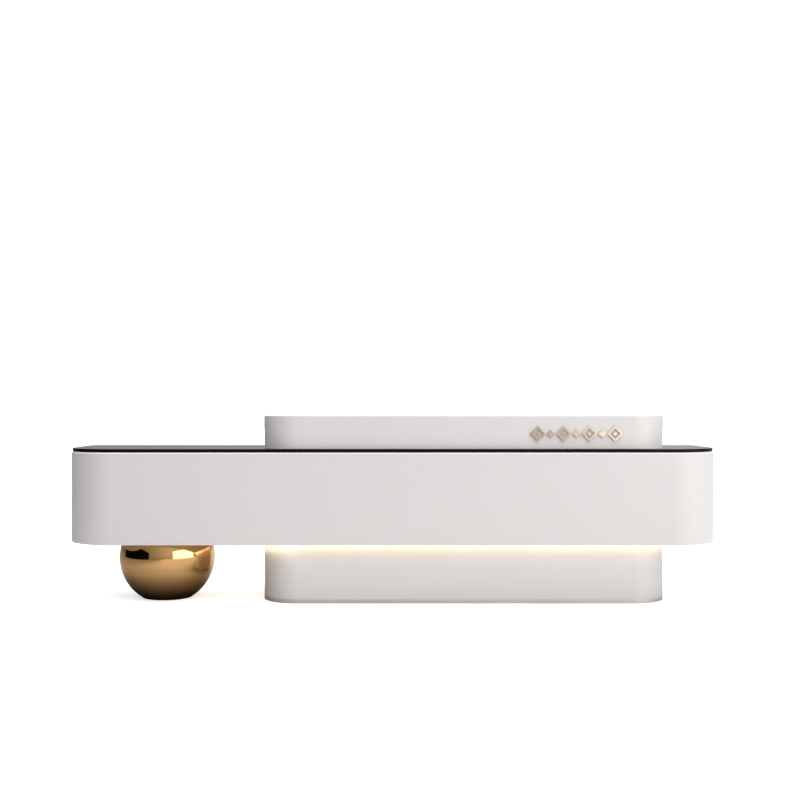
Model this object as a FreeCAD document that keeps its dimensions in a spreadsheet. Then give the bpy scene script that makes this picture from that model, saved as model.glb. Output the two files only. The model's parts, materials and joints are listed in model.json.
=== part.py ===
"""Checkout counter: a floating lacquered body on a recessed plinth and a polished ball.

Frame: origin under the middle of the counter on the floor, +X to the right along the front,
+Y from the customer's side to the staff side, +Z up, millimetres.
"""
import FreeCAD, Part
import os
import Sketcher

DIMENSIONS = {
    # whole counter
    "body_length": 3600, "body_depth": 650, "top_height": 840, "overall_height": 1020,
    "glass_thickness": 16, "body_underside": 320, "front_radius": 275, "rear_radius": 60,
    "board": 18, "fit_gap": 0.5, "overrun": 10, "rear_recess": 25, "fascia_recess": 2,
    "reveal": 3,
    # riser and plinth, which share one plan outline
    "step_left": -717, "step_length": 2225, "set_back": 36, "step_radius": 200,
    "riser_depth": 300, "plinth_depth": 520, "skirting_height": 23,
    "riser_divider_1": 20, "riser_divider_2": 760,
    "rib_1": 0, "rib_2": 790, "foot_height": 20,
    # polished ball under the left end
    "ball_radius": 264, "ball_across": -1269, "ball_set_back": 275, "ball_centre_height": 227,
    "ball_wall": 3, "ball_pad_radius": 138, "ball_pad_thickness": 2, "post_radius": 38,
    "post_wall": 4, "post_foot_radius": 120, "post_head_radius": 110, "post_flange": 8,
    # bays, given by the left face of each upright board
    "divider_1": -1740, "divider_2": -909, "divider_3": -309, "divider_4": 459,
    "divider_5": 1077, "shelf_height": 560, "shelf_set_back": 38, "shelf_play": 1,
    "pin_radius": 2.5, "pin_length": 8, "pin_inset": 140,
    # drawers, tray and their slides
    "slide_space": 13, "rail_width": 11, "rail_height": 40, "rail_web": 3, "rail_lip": 5,
    "runner_play": 1.5, "runner_height": 26, "box_board": 12, "box_floor": 9, "box_length": 480,
    "rail_end_gap": 18, "drawer_rail_length": 452, "tray_rail_length": 372,
    "top_front_height": 150, "top_box_base": 663, "top_box_height": 100,
    "deep_box_base": 353, "deep_box_height": 247, "top_slide_height": 700,
    "deep_slide_height": 420, "tray_underside": 712, "tray_depth": 400,
    # knobs, lock and hinges
    "knob_stem_radius": 5, "knob_stem": 12, "knob_neck_radius": 8, "knob_radius": 14,
    "knob_cone": 6, "knob_rim": 4, "door_knob_height": 700, "door_knob_inset": 30,
    "lock_drop": 28, "lock_radius": 9, "lock_bore": 9.3, "lock_rose_radius": 11,
    "lock_rose": 2, "lock_length": 30, "cam_reach": 26, "cam_half": 8, "cam_thickness": 4,
    "keeper_half": 15, "keeper_drop": 12, "keeper_thickness": 4, "keeper_gap": 1,
    "pivot_inset": 1.5, "knuckle_radius": 4, "hinge_pin_radius": 2, "knuckle_bore": 2.1,
    "knuckle_height": 24, "hinge_height": 50, "hinge_gap": 0.5, "leaf_thickness": 1.5,
    "leaf_width": 12.5, "leaf_clear": 5, "door_leaf_width": 24, "door_leaf_thickness": 3,
    "lower_hinge": 420, "upper_hinge": 720,
    # cable port in the top, and its grommet
    "port_across": 376, "port_back": 170, "port_radius": 30, "sleeve_radius": 29.5,
    "grommet_rim_radius": 38, "grommet_rim": 2, "cap_seat_radius": 25, "cap_radius": 24.5,
    "cap_ledge_radius": 22, "cap_thickness": 4.7, "cap_lift": 0.3, "cap_depth": 4,
    "notch_width": 14, "notch_start": 8, "floor_hole_radius": 25,
    # light under the body
    "channel_near": 1, "channel_far": 17, "channel_height": 12, "channel_wall": 1.5,
    "diffuser_play": 0.2, "diffuser_thickness": 1.5, "tape_near": 5, "tape_far": 13,
    "tape_thickness": 1.2, "tape_gap": 0.1, "driver_length": 200, "driver_height": 60,
    "driver_depth": 35, "driver_base": 120,
    "gland_across": 1200, "gland_height": 120, "gland_radius": 12, "gland_hole": 12.3,
    "gland_rim_radius": 17, "gland_rim": 4, "gland_nose": 12, "gland_tail": 8,
    "gland_tip_radius": 8, "lead_hole_radius": 4.5,
    "switch_across": -600, "switch_back": 240, "switch_length": 40, "switch_width": 30,
    "switch_depth": 14, "button_radius": 8, "button_bore": 8.4, "button_proud": 3,
    "button_length": 11,
    # floor fixings and the panel at the back of the plinth
    "foot_radius": 22, "foot_plate": 6, "foot_stem": 5, "front_foot": -230, "rear_foot": 185,
    "bracket_reach": 60, "bracket_width": 50, "bracket_height": 65, "bracket_plate": 5,
    "anchor_offset": 35, "anchor_back": 120, "anchor_hole": 5.5,
    "screw_head_radius": 4, "screw_head": 1.5, "screw_shank": 2, "screw_hole": 2.3,
    "screw_edge": 60, "screw_height": 160,
    # raised ornament on the riser
    "ornament_left": 787, "ornament_pitch": 70, "ornament_height": 922.5,
    "large_lozenge": 42, "large_lozenge_inner": 29.3, "small_lozenge": 22,
    "lozenge_heart": 12, "ornament_relief": 10,
}

doc = FreeCAD.newDocument("checkout_counter")
sheet = doc.addObject("Spreadsheet::Sheet", "dims")
for row, (alias, size) in enumerate(DIMENSIONS.items(), start=1):
    sheet.set(f"A{row}", alias)
    sheet.set(f"B{row}", str(size))
    sheet.setAlias(f"B{row}", alias)
doc.recompute()

# Expressions that several sub-parts share.
LEFT = "(-dims.body_length / 2)"
FRONT = "(-dims.body_depth / 2)"
REAR = "(dims.body_depth / 2)"
BODY_TOP = "(dims.top_height - dims.glass_thickness)"
BODY_FLOOR = "(dims.body_underside + dims.board)"
BODY_CEILING = f"({BODY_TOP} - dims.board)"
BAY_HEIGHT = f"({BODY_CEILING} - {BODY_FLOOR})"
INNER_FRONT = f"({FRONT} + dims.board + dims.fit_gap)"
DIVIDER_REAR = f"({REAR} - dims.rear_recess)"
FASCIA_OUTER = f"({DIVIDER_REAR} - dims.fascia_recess)"
FASCIA_INNER = f"({FASCIA_OUTER} - dims.board)"
STEP_FRONT = f"({FRONT} + dims.set_back)"
STEP_RIGHT = "(dims.step_left + dims.step_length)"
PLINTH_REAR = f"({STEP_FRONT} + dims.plinth_depth)"
RISER_REAR = f"({STEP_FRONT} + dims.riser_depth)"

TURNS = {
    "up": FreeCAD.Rotation(),
    "back": FreeCAD.Rotation(FreeCAD.Vector(1, 0, 0), -90),
    "front": FreeCAD.Rotation(FreeCAD.Vector(1, 0, 0), 90),
    "right": FreeCAD.Rotation(FreeCAD.Vector(0, 1, 0), 90),
}
subparts = []


def node(item):
    """Hand in an object as a sub-part of its own."""
    subparts.append(item)
    return item


def place(item, point, facing="up"):
    item.Placement = FreeCAD.Placement(FreeCAD.Vector(), TURNS[facing])
    for axis, expression in zip("xyz", point):
        item.setExpression(f"Placement.Base.{axis}", expression)


def board(name, corner, size):
    """Straight-edged board from its lowest corner."""
    item = doc.addObject("Part::Box", name)
    for side, expression in zip(("Length", "Width", "Height"), size):
        item.setExpression(side, expression)
    place(item, corner)
    return item


def rod(name, point, radius, length, facing="up"):
    item = doc.addObject("Part::Cylinder", name)
    item.setExpression("Radius", radius)
    item.setExpression("Height", length)
    place(item, point, facing)
    return item


def cone(name, point, start_radius, end_radius, length, facing):
    item = doc.addObject("Part::Cone", name)
    item.setExpression("Radius1", start_radius)
    item.setExpression("Radius2", end_radius)
    item.setExpression("Height", length)
    place(item, point, facing)
    return item


def cut(name, base, *tools):
    for number, tool in enumerate(tools, start=1):
        label = name if number == len(tools) else f"{name}_stage_{number}"
        item = doc.addObject("Part::Cut", label)
        item.Base = base
        item.Tool = tool
        base = item
    return base


def common(name, base, tool):
    """What is left of BASE inside TOOL."""
    item = doc.addObject("Part::Common", name)
    item.Base = base
    item.Tool = tool
    return item


def fuse(name, *members):
    item = doc.addObject("Part::MultiFuse", name)
    item.Shapes = list(members)
    return item


def group(name, members):
    """Several separate solids that are handed in as one sub-part."""
    item = doc.addObject("Part::Compound", name)
    item.Links = list(members)
    return item


def rectangle_sketch(body, name, corner, width, depth):
    """Rectangle on the body's XY plane, from its corner, with bound sizes."""
    sketch = body.newObject("Sketcher::SketchObject", name)
    plane = [item for item in body.Origin.OriginFeatures if item.Role == "XY_Plane"][0]
    sketch.AttachmentSupport = [(plane, "")]
    sketch.MapMode = "FlatFace"
    for axis, expression in zip("xyz", corner):
        sketch.setExpression(f"AttachmentOffset.Base.{axis}", expression)
    points = [FreeCAD.Vector(*xy) for xy in ((0, 0, 0), (100, 0, 0), (100, 50, 0), (0, 50, 0))]
    for number in range(4):
        sketch.addGeometry(Part.LineSegment(points[number], points[(number + 1) % 4]), False)
    for number in range(4):
        corner_joint = Sketcher.Constraint("Coincident", number, 2, (number + 1) % 4, 1)
        sketch.addConstraint(corner_joint)
    for number, way in enumerate(("Horizontal", "Vertical", "Horizontal", "Vertical")):
        sketch.addConstraint(Sketcher.Constraint(way, number))
    sketch.addConstraint(Sketcher.Constraint("Coincident", 0, 1, -1, 1))
    wide = sketch.addConstraint(Sketcher.Constraint("DistanceX", 0, 1, 0, 2, 100))
    deep = sketch.addConstraint(Sketcher.Constraint("DistanceY", 1, 1, 1, 2, 50))
    sketch.setExpression(f"Constraints[{wide}]", width)
    sketch.setExpression(f"Constraints[{deep}]", depth)
    return sketch


def round_edges(body, name, base, at_rear, radius):
    """Round the two upright edges at the front or the rear of the base feature."""
    doc.recompute()
    box = base.Shape.BoundBox
    line = box.YMax if at_rear else box.YMin
    edges = []
    for number, edge in enumerate(base.Shape.Edges, start=1):
        span = edge.BoundBox
        upright = span.ZLength > box.ZLength - 0.01 and span.DiagonalLength < box.ZLength + 0.01
        if upright and abs(span.YMin - line) < 0.01:
            edges.append(f"Edge{number}")
    fillet = body.newObject("PartDesign::Fillet", name)
    fillet.Base = (base, edges)
    fillet.setExpression("Radius", radius)
    return fillet


def rounded_slab(name, corner, size, front_radius, rear_radius=None):
    """Slab with rounded front plan corners, and rounded rear ones where a radius is given."""
    body = doc.addObject("PartDesign::Body", name)
    outline = rectangle_sketch(body, f"{name}_outline", corner, size[0], size[1])
    pad = body.newObject("PartDesign::Pad", f"{name}_pad")
    pad.Profile = outline
    pad.setExpression("Length", size[2])
    feature = round_edges(body, f"{name}_front_round", pad, False, front_radius)
    if rear_radius:
        feature = round_edges(body, f"{name}_rear_round", feature, True, rear_radius)
    body.Tip = feature
    return body


def body_slab(name, inset, bottom, height):
    """Slab on the body's plan outline, set in by INSET all round."""
    corner = (f"{LEFT} + {inset}", f"{FRONT} + {inset}", bottom)
    size = (f"dims.body_length - 2 * {inset}", f"dims.body_depth - 2 * {inset}", height)
    return rounded_slab(name, corner, size, f"dims.front_radius - {inset}",
                        f"dims.rear_radius - {inset}")


def step_slab(name, grow, depth, bottom, height, run_on="0"):
    """Slab on the riser's and plinth's plan outline, grown outwards by GROW."""
    corner = (f"dims.step_left - {grow}", f"{STEP_FRONT} - {grow}", bottom)
    size = (f"dims.step_length + 2 * {grow}", f"{depth} + {grow} + {run_on}", height)
    return rounded_slab(name, corner, size, f"dims.step_radius + {grow}")


def step_wrap(name, outward, inward, depth, bottom, height):
    """U-shaped strip round the front and ends, between two offsets of the outline."""
    outer = step_slab(f"{name}_outer", outward, depth, bottom, height)
    inner = step_slab(f"{name}_inner", inward, depth, f"{bottom} - dims.overrun",
                      f"{height} + 2 * dims.overrun", "dims.overrun")
    return cut(name, outer, inner)


def port_cutter(name, radius, bottom, height):
    point = ("dims.port_across", "dims.port_back", bottom)
    return rod(name, point, radius, height)


def make_top():
    """Polished black top and the board that backs it, with the cable port through both."""
    port = port_cutter("port_bore", "dims.port_radius", f"{BODY_CEILING} - dims.overrun",
                       "dims.glass_thickness + dims.board + 2 * dims.overrun")
    glass = body_slab("glass_blank", "0", BODY_TOP, "dims.glass_thickness")
    node(cut("countertop_glass", glass, port))
    backing = body_slab("backing_blank", "(dims.board + dims.fit_gap)", BODY_CEILING, "dims.board")
    node(cut("sub_top_board", backing, port))


def make_body():
    """Lacquered front shell, floor board with the light's groove, uprights and shelves."""
    height = f"({BODY_TOP} - dims.body_underside)"
    outer = body_slab("shell_outer", "0", "dims.body_underside", height)
    inner = body_slab("shell_inner", "dims.board", "dims.body_underside - dims.overrun",
                      f"{height} + 2 * dims.overrun")
    opening = board("shell_opening",
                    (f"{LEFT} + dims.rear_radius", "0", "dims.body_underside - dims.overrun"),
                    ("dims.body_length - 2 * dims.rear_radius", "dims.body_depth",
                     f"{height} + 2 * dims.overrun"))
    node(cut("body_front_shell", outer, inner, opening))

    blank = body_slab("floor_blank", "(dims.board + dims.fit_gap)", "dims.body_underside",
                      "dims.board")
    groove = step_wrap("light_groove", "(dims.set_back - dims.board)",
                       "(dims.channel_near - dims.diffuser_play)", "dims.plinth_depth",
                       "(dims.body_underside - dims.overrun)",
                       "(dims.channel_height + dims.overrun)")
    hole = port_cutter("floor_hole", "dims.floor_hole_radius",
                       "dims.body_underside - dims.overrun", "dims.board + 2 * dims.overrun")
    node(cut("body_floor_board", blank, groove, hole))

    cavity = body_slab("body_cavity", "(dims.board + dims.fit_gap)",
                       f"({BODY_FLOOR} - dims.overrun)", f"({BAY_HEIGHT} + 2 * dims.overrun)")
    for number in range(1, 6):
        corner = (f"dims.divider_{number}", INNER_FRONT, BODY_FLOOR)
        size = ("dims.board", f"{DIVIDER_REAR} - {INNER_FRONT}", BAY_HEIGHT)
        upright = board(f"divider_{number}_blank", corner, size)
        node(common(f"divider_{number}", upright, cavity))

    pins = []
    for name, bay in (("cabinet_shelf", 1), ("open_bay_shelf", 2)):
        start = f"(dims.divider_{bay} + dims.board)"
        end = f"dims.divider_{bay + 1}"
        rear = f"({FASCIA_INNER} - dims.shelf_set_back)"
        corner = (f"{start} + dims.shelf_play", INNER_FRONT, "dims.shelf_height")
        size = (f"{end} - {start} - 2 * dims.shelf_play", f"{rear} - {INNER_FRONT}", "dims.board")
        node(common(name, board(f"{name}_blank", corner, size), cavity))
        for side, across in (("left", start), ("right", f"{end} - dims.pin_length")):
            for where, back in (("front", f"{INNER_FRONT} + dims.pin_inset"),
                                ("rear", f"{rear} - dims.pin_inset")):
                point = (across, back, "dims.shelf_height - dims.pin_radius")
                pins.append(rod(f"{name}_pin_{side}_{where}", point, "dims.pin_radius",
                                "dims.pin_length", "right"))
    node(group("shelf_pins", pins))


def make_riser():
    """Raised guard on the top, open at the back as pigeonholes, and its ornament."""
    height = "(dims.overall_height - dims.top_height - dims.board)"
    node(step_wrap("riser_shell", "0", "(-dims.board)", "dims.riser_depth", "dims.top_height",
                   height))
    node(step_slab("riser_top", "0", "dims.riser_depth", "dims.overall_height - dims.board",
                   "dims.board"))
    for number in (1, 2):
        front = f"({STEP_FRONT} + dims.board)"
        corner = (f"dims.riser_divider_{number}", front, "dims.top_height")
        size = ("dims.board", f"{RISER_REAR} - {front}", height)
        node(board(f"riser_divider_{number}", corner, size))

    lozenges = []
    for number in range(7):
        across = f"dims.ornament_left + {number} * dims.ornament_pitch"
        if number % 2:
            lozenges.append(lozenge(f"small_lozenge_{number}", across, "dims.small_lozenge"))
            continue
        ring = lozenge(f"lozenge_blank_{number}", across, "dims.large_lozenge")
        window = lozenge(f"lozenge_window_{number}", across, "dims.large_lozenge_inner")
        lozenges.append(cut(f"large_lozenge_{number}", ring, window))
        lozenges.append(lozenge(f"lozenge_heart_{number}", across, "dims.lozenge_heart"))
    node(group("riser_ornament", lozenges))


def lozenge(name, across, reach):
    """Square prism on its corner, standing out of the riser's face."""
    item = doc.addObject("Part::Prism", name)
    item.Polygon = 4
    item.setExpression("Circumradius", reach)
    item.setExpression("Height", "dims.ornament_relief")
    place(item, (across, STEP_FRONT, "dims.ornament_height"), "front")
    return item


def make_plinth():
    """Recessed plinth: shell, skirting, ribs on levelling feet, anchors and service panel."""
    node(step_wrap("plinth_shell", "0", "(-dims.board)", "dims.plinth_depth",
                   "dims.skirting_height", "(dims.body_underside - dims.skirting_height)"))
    node(step_wrap("plinth_skirting", "0", "(-dims.board)", "dims.plinth_depth", "0",
                   "dims.skirting_height"))
    rib_front = f"({STEP_FRONT} + dims.board)"
    rib_rear = f"({PLINTH_REAR} - dims.board)"
    feet = []
    brackets = []
    for number in (1, 2):
        rib = f"dims.rib_{number}"
        node(board(f"plinth_rib_{number}", (rib, rib_front, "dims.foot_height"),
                   ("dims.board", f"{rib_rear} - {rib_front}",
                    "dims.body_underside - dims.foot_height")))
        for where in ("front", "rear"):
            feet.append(levelling_foot(f"{where}_foot_{number}", f"{rib} + dims.board / 2",
                                       f"dims.{where}_foot"))
        for where, back in (("front", "-dims.anchor_back"), ("rear", "dims.anchor_back")):
            brackets.append(anchor_bracket(f"{where}_bracket_{number}", number, back))
    node(group("levelling_feet", feet))
    node(group("anchor_brackets", brackets))

    corner = ("dims.step_left + dims.board + dims.fit_gap", rib_rear, "dims.bracket_plate")
    size = ("dims.step_length - 2 * (dims.board + dims.fit_gap)", "dims.board",
            "dims.body_underside - dims.bracket_plate")
    panel = board("panel_blank", corner, size)
    gland_hole = rod("gland_hole", ("dims.gland_across", f"{rib_rear} - dims.overrun",
                                    "dims.gland_height"), "dims.gland_hole",
                     "dims.board + 2 * dims.overrun", "back")
    screws = []
    holes = []
    rib_middles = [f"(dims.rib_{number} + dims.board / 2)" for number in (1, 2)]
    ends = ["(dims.step_left + dims.screw_edge)", f"({STEP_RIGHT} - dims.screw_edge)"]
    for number, across in enumerate(ends + rib_middles, start=1):
        holes.append(rod(f"screw_hole_{number}", (across, f"{rib_rear} - dims.overrun",
                                                  "dims.screw_height"), "dims.screw_hole",
                         "dims.board + 2 * dims.overrun", "back"))
        shank = rod(f"screw_shank_{number}", (across, rib_rear, "dims.screw_height"),
                    "dims.screw_shank", "dims.board", "back")
        head = rod(f"screw_head_{number}", (across, PLINTH_REAR, "dims.screw_height"),
                   "dims.screw_head_radius", "dims.screw_head", "back")
        screws.append(fuse(f"screw_{number}", shank, head))
    node(cut("plinth_service_panel", panel, gland_hole, *holes))
    node(group("panel_screws", screws))


def levelling_foot(name, across, back):
    plate = rod(f"{name}_plate", (across, back, "0"), "dims.foot_radius", "dims.foot_plate")
    stem = rod(f"{name}_stem", (across, back, "dims.foot_plate"), "dims.foot_stem",
               "dims.foot_height - dims.foot_plate")
    return fuse(name, plate, stem)


def anchor_bracket(name, number, back):
    """Angle bracket against a rib: rib 1 has it on its left, rib 2 on its right."""
    rib = f"dims.rib_{number}"
    near = f"({back} - dims.bracket_width / 2)"
    if number == 1:
        plate_start = f"{rib} - dims.bracket_reach"
        upright_start = f"{rib} - dims.bracket_plate"
        hole_across = f"{rib} - dims.anchor_offset"
    else:
        plate_start = f"{rib} + dims.board"
        upright_start = plate_start
        hole_across = f"{rib} + dims.board + dims.anchor_offset"
    plate = board(f"{name}_plate", (plate_start, near, "0"),
                  ("dims.bracket_reach", "dims.bracket_width", "dims.bracket_plate"))
    upright = board(f"{name}_upright", (upright_start, near, "0"),
                    ("dims.bracket_plate", "dims.bracket_width", "dims.bracket_height"))
    hole = rod(f"{name}_hole", (hole_across, back, "-dims.overrun"), "dims.anchor_hole",
               "dims.bracket_plate + 2 * dims.overrun")
    return cut(name, fuse(f"{name}_angle", plate, upright), hole)


def make_light():
    """Aluminium channel round the plinth's head with its tape and cover, driver and inlet."""
    wall = "dims.channel_wall"
    channel = step_wrap("channel_blank", "dims.channel_far", "dims.channel_near",
                        "dims.plinth_depth", "dims.body_underside", "dims.channel_height")
    hollow = step_wrap("channel_hollow", f"(dims.channel_far - {wall})",
                       f"(dims.channel_near + {wall})", "dims.plinth_depth",
                       "(dims.body_underside - dims.overrun)",
                       f"(dims.channel_height - {wall} + dims.overrun)")
    node(cut("light_channel", channel, hollow))
    play = "dims.diffuser_play"
    node(step_wrap("light_cover", f"(dims.channel_far - {wall} - {play})",
                   f"(dims.channel_near + {wall} + {play})", "dims.plinth_depth",
                   f"(dims.body_underside + {play})", "dims.diffuser_thickness"))
    tape_base = (f"(dims.body_underside + dims.channel_height - {wall} - dims.tape_gap"
                 " - dims.tape_thickness)")
    node(step_wrap("light_tape", "dims.tape_far", "dims.tape_near", "dims.plinth_depth",
                   tape_base, "dims.tape_thickness"))
    node(board("light_driver", ("dims.rib_1 + dims.board", "-dims.driver_length / 2",
                                "dims.driver_base"),
               ("dims.driver_depth", "dims.driver_length", "dims.driver_height")))

    def gland_point(back):
        return ("dims.gland_across", back, "dims.gland_height")

    tail = f"({PLINTH_REAR} - dims.board - dims.gland_tail)"
    stem = rod("gland_stem", gland_point(tail), "dims.gland_radius",
               "dims.board + dims.gland_tail", "back")
    rim = rod("gland_rim", gland_point(PLINTH_REAR), "dims.gland_rim_radius", "dims.gland_rim",
              "back")
    nose = cone("gland_nose", gland_point(f"{PLINTH_REAR} + dims.gland_rim"),
                "dims.gland_radius", "dims.gland_tip_radius", "dims.gland_nose", "back")
    lead = rod("lead_hole", gland_point(f"{tail} - dims.overrun"), "dims.lead_hole_radius",
               "dims.board + dims.gland_tail + dims.gland_rim + dims.gland_nose"
               " + 2 * dims.overrun", "back")
    node(cut("power_inlet", fuse("gland_body", stem, rim, nose), lead))


def make_switch():
    """Push switch for the light, under the backing board in the open bay."""
    base = f"({BODY_CEILING} - dims.switch_depth)"
    corner = ("dims.switch_across - dims.switch_length / 2",
              "dims.switch_back - dims.switch_width / 2", base)
    block = board("switch_block", corner,
                  ("dims.switch_length", "dims.switch_width", "dims.switch_depth"))
    bore = rod("switch_bore", ("dims.switch_across", "dims.switch_back",
                               f"{base} - dims.overrun"), "dims.button_bore",
               "dims.switch_depth + 2 * dims.overrun")
    node(cut("light_switch_housing", block, bore))
    node(rod("light_switch_button", ("dims.switch_across", "dims.switch_back",
                                     f"{base} - dims.button_proud"),
             "dims.button_radius", "dims.button_length"))


def make_ball():
    """Hollow polished ball with flat ends, the post that carries the load, and its pad."""
    back = f"({FRONT} + dims.ball_set_back)"
    centre = ("dims.ball_across", back, "dims.ball_centre_height")
    spheres = []
    for name, radius in (("ball_outer", "dims.ball_radius"),
                         ("ball_inner", "dims.ball_radius - dims.ball_wall")):
        sphere = doc.addObject("Part::Sphere", name)
        sphere.setExpression("Radius", radius)
        place(sphere, centre)
        spheres.append(sphere)
    hollow = cut("ball_hollow", *spheres)
    slab = board("ball_slab", ("dims.ball_across - dims.ball_radius - dims.overrun",
                               f"{back} - dims.ball_radius - dims.overrun",
                               "dims.ball_pad_thickness"),
                 ("2 * (dims.ball_radius + dims.overrun)", "2 * (dims.ball_radius + dims.overrun)",
                  "dims.body_underside - dims.ball_pad_thickness"))
    node(common("ball_shell", hollow, slab))

    def on_axis(height):
        return ("dims.ball_across", back, height)

    pad_top = "dims.ball_pad_thickness"
    foot = rod("post_foot", on_axis(pad_top), "dims.post_foot_radius", "dims.post_flange")
    head = rod("post_head", on_axis("dims.body_underside - dims.post_flange"),
               "dims.post_head_radius", "dims.post_flange")
    tube = rod("post_tube", on_axis(pad_top), "dims.post_radius",
               f"dims.body_underside - {pad_top}")
    bore = rod("post_bore", on_axis(f"{pad_top} + dims.post_flange"),
               "dims.post_radius - dims.post_wall",
               f"dims.body_underside - {pad_top} - 2 * dims.post_flange")
    node(cut("ball_post", fuse("post_solid", foot, head, tube), bore))
    node(rod("ball_foot_pad", on_axis("0"), "dims.ball_pad_radius", pad_top))


def make_grommet():
    """Cable grommet in the top and its turning cap with a notch for the leads."""
    base = f"({BODY_CEILING})"
    depth = "(dims.board + dims.glass_thickness)"
    sleeve = port_cutter("grommet_sleeve", "dims.sleeve_radius", base,
                         f"{depth} + dims.grommet_rim")
    rim = port_cutter("grommet_rim", "dims.grommet_rim_radius", "dims.top_height",
                      "dims.grommet_rim")
    bore = port_cutter("grommet_bore", "dims.cap_ledge_radius", f"{base} - dims.overrun",
                       f"{depth} + 2 * dims.overrun")
    seat = port_cutter("grommet_seat", "dims.cap_seat_radius",
                       "dims.top_height - dims.cap_depth",
                       "dims.cap_depth + dims.overrun")
    node(cut("grommet_ring", fuse("grommet_blank", sleeve, rim), bore, seat))
    disc_base = "(dims.top_height - dims.cap_depth + dims.cap_lift)"
    disc = port_cutter("cap_disc", "dims.cap_radius", disc_base, "dims.cap_thickness")
    notch = board("cap_notch", ("dims.port_across - dims.notch_width / 2",
                                "dims.port_back + dims.notch_start",
                                f"{disc_base} - dims.overrun"),
                  ("dims.notch_width", "dims.cap_radius", "dims.cap_thickness"
                   " + 2 * dims.overrun"))
    node(cut("grommet_cap", disc, notch))


def rail(name, bay_left, bay_right, side, height, length):
    """Fixed C-shaped slide member on one wall of a bay."""
    start = f"({FASCIA_INNER} - dims.rail_end_gap - {length})"
    low = f"({height} - dims.rail_height / 2)"
    across = bay_left if side == "left" else f"{bay_right} - dims.rail_width"
    hollow_across = f"{bay_left} + dims.rail_web"
    if side == "right":
        hollow_across = f"{bay_right} - dims.rail_width - dims.overrun"
    bar = board(f"{name}_{side}_bar", (across, start, low),
                ("dims.rail_width", length, "dims.rail_height"))
    hollow = board(f"{name}_{side}_hollow",
                   (hollow_across, f"{start} - dims.overrun", f"{low} + dims.rail_lip"),
                   ("dims.rail_width - dims.rail_web + dims.overrun",
                    f"{length} + 2 * dims.overrun", "dims.rail_height - 2 * dims.rail_lip"))
    return cut(f"{name}_{side}", bar, hollow)


def runner(name, bay_left, bay_right, side, height, length):
    """Moving slide member, from the drawer's side into the fixed one."""
    start = f"({FASCIA_INNER} - dims.rail_end_gap - {length})"
    reach = "(dims.slide_space - dims.rail_web - dims.runner_play)"
    across = f"{bay_left} + dims.rail_web + dims.runner_play"
    if side == "right":
        across = f"{bay_right} - dims.slide_space"
    return board(f"{name}_{side}", (across, start, f"{height} - dims.runner_height / 2"),
                 (reach, length, "dims.runner_height"))


def knob(name, across, height):
    """Turned brass knob on a fascia: stem, flared neck and rim."""
    def out(offset):
        return (across, f"{FASCIA_OUTER} + {offset}", height)

    stem = rod(f"{name}_stem", out("0"), "dims.knob_stem_radius", "dims.knob_stem", "back")
    neck = cone(f"{name}_neck", out("dims.knob_stem"), "dims.knob_neck_radius",
                "dims.knob_radius", "dims.knob_cone", "back")
    rim = rod(f"{name}_rim", out("dims.knob_stem + dims.knob_cone"), "dims.knob_radius",
              "dims.knob_rim", "back")
    return fuse(name, stem, neck, rim)


def make_drawers():
    """Shallow lockable drawer over a deep one, on side slides."""
    bay_left = "(dims.divider_4 + dims.board)"
    bay_right = "dims.divider_5"
    middle = f"(({bay_left} + {bay_right}) / 2)"
    front_width = f"{bay_right} - {bay_left} - 2 * dims.reveal"
    top_base = f"({BODY_CEILING} - dims.reveal - dims.top_front_height)"
    deep_base = f"({BODY_FLOOR} + dims.reveal)"
    deep_height = f"({top_base} - dims.reveal - {deep_base})"
    fronts = {"top": (top_base, "dims.top_front_height"), "deep": (deep_base, deep_height)}
    rails = []
    for name, (base, height) in fronts.items():
        front = board(f"{name}_drawer_front_board",
                      (f"{bay_left} + dims.reveal", FASCIA_INNER, base),
                      (front_width, "dims.board", height))
        if name == "top":
            front = lock_in(front, middle)
        else:
            front.Label = "deep_drawer_front"
        node(front)
        node(drawer_box(f"{name}_drawer_box", bay_left, bay_right, f"dims.{name}_box_base",
                        f"dims.{name}_box_height"))
        node(knob(f"{name}_drawer_knob", middle, f"{base} + {height} / 2"))
        line = f"dims.{name}_slide_height"
        slides = (bay_left, bay_right, line, "dims.drawer_rail_length")
        node(group(f"{name}_drawer_runners",
                   [runner(f"{name}_runner", slides[0], slides[1], side, line, slides[3])
                    for side in ("left", "right")]))
        rails += [rail(f"{name}_rail", slides[0], slides[1], side, line, slides[3])
                  for side in ("left", "right")]
    node(group("drawer_rails", rails))


def lock_in(front, across):
    """Cam lock of the top drawer: barrel, cam and the keeper under the backing board."""
    height = f"({BODY_CEILING} - dims.reveal - dims.lock_drop)"
    inner = f"({FASCIA_OUTER} + dims.lock_rose - dims.lock_length)"
    bore = rod("lock_bore_cutter", (across, f"{FASCIA_INNER} - dims.overrun", height),
               "dims.lock_bore", "dims.board + 2 * dims.overrun", "back")
    barrel = rod("lock_plug", (across, inner, height), "dims.lock_radius",
                 "dims.lock_length", "back")
    rose = rod("lock_rose_disc", (across, FASCIA_OUTER, height), "dims.lock_rose_radius",
               "dims.lock_rose", "back")
    node(fuse("lock_barrel", barrel, rose))
    node(board("lock_cam", (f"{across} - dims.cam_half", f"{inner} - dims.cam_thickness",
                            f"{height} - dims.cam_half"),
               ("dims.cam_half + dims.cam_reach", "dims.cam_thickness", "2 * dims.cam_half")))
    node(board("lock_keeper", (f"{across} - dims.keeper_half", f"{inner} + dims.keeper_gap",
                               f"{BODY_CEILING} - dims.keeper_drop"),
               ("2 * dims.keeper_half", "dims.keeper_thickness", "dims.keeper_drop")))
    return cut("top_drawer_front", front, bore)


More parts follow.
